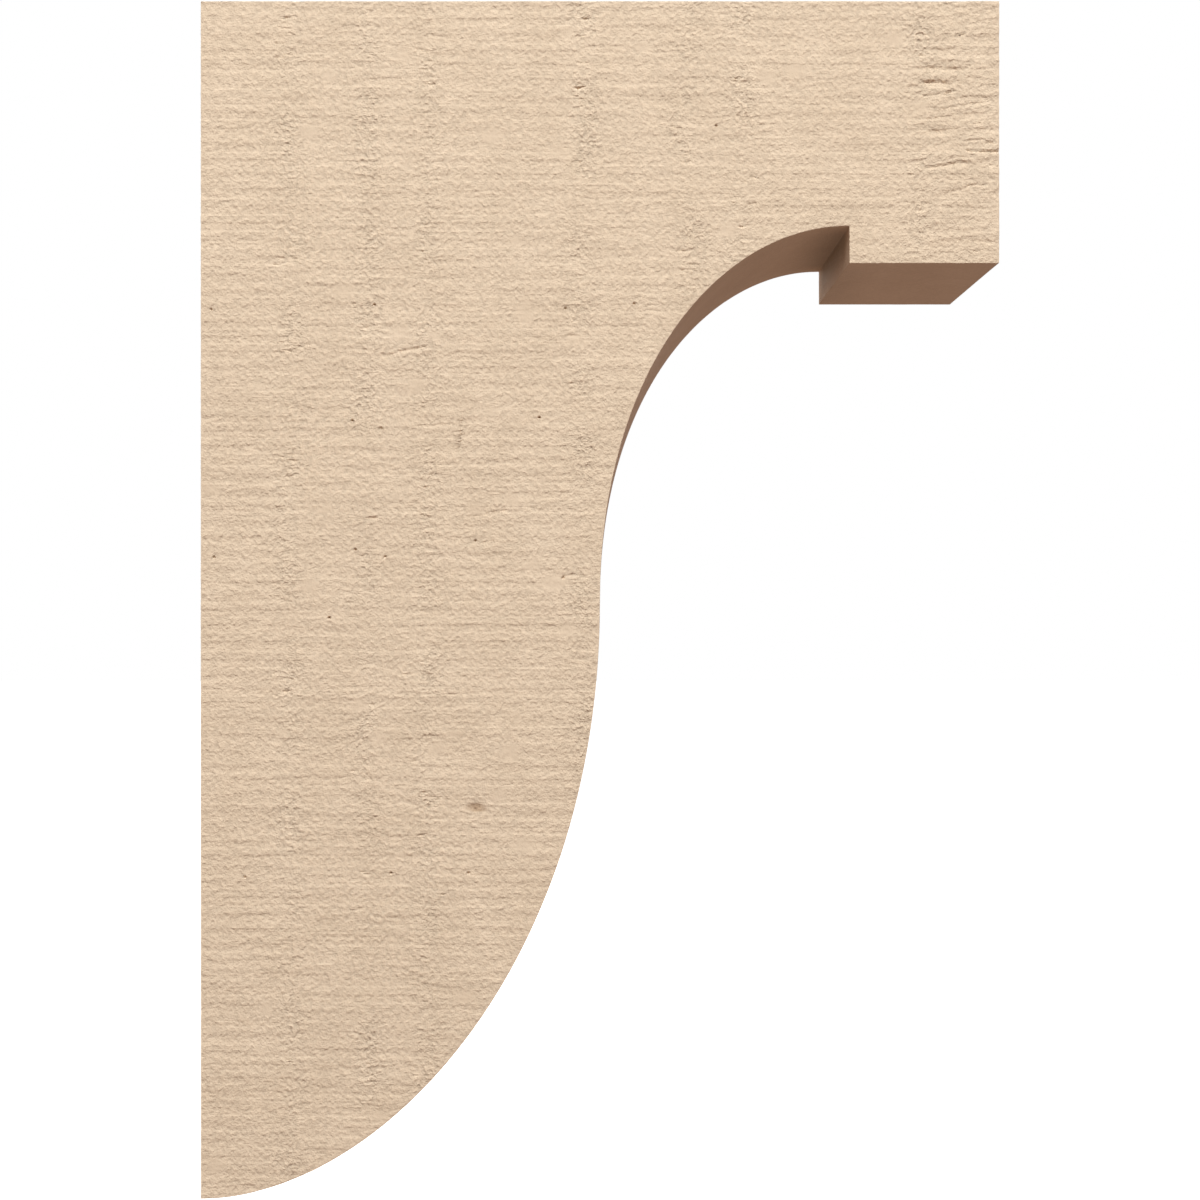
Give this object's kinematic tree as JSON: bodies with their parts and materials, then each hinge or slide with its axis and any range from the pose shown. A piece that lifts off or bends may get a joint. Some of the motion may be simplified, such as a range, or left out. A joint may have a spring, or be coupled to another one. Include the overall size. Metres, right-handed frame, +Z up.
{
  "type": "corbel",
  "caption": "Plain-sided wall corbel with a full belly, a hollow cove, a small step and a square nose under a flat top face, in a rough-sawn texture.",
  "frame": {"origin": "middle of the back face, which bears on the wall", "axes": "+X out from the wall, towards the nose; +Y along the wall, across the corbel's width; +Z up, towards the top face"},
  "size_m": [0.4064, 0.1016, 0.6096],
  "materials": {
    "tan_primer": "matt tan primer over a rough-sawn, moulded polyurethane surface"
  },
  "bodies": {
    "root": {"corbel": "tan_primer"}
  },
  "joints": []
}
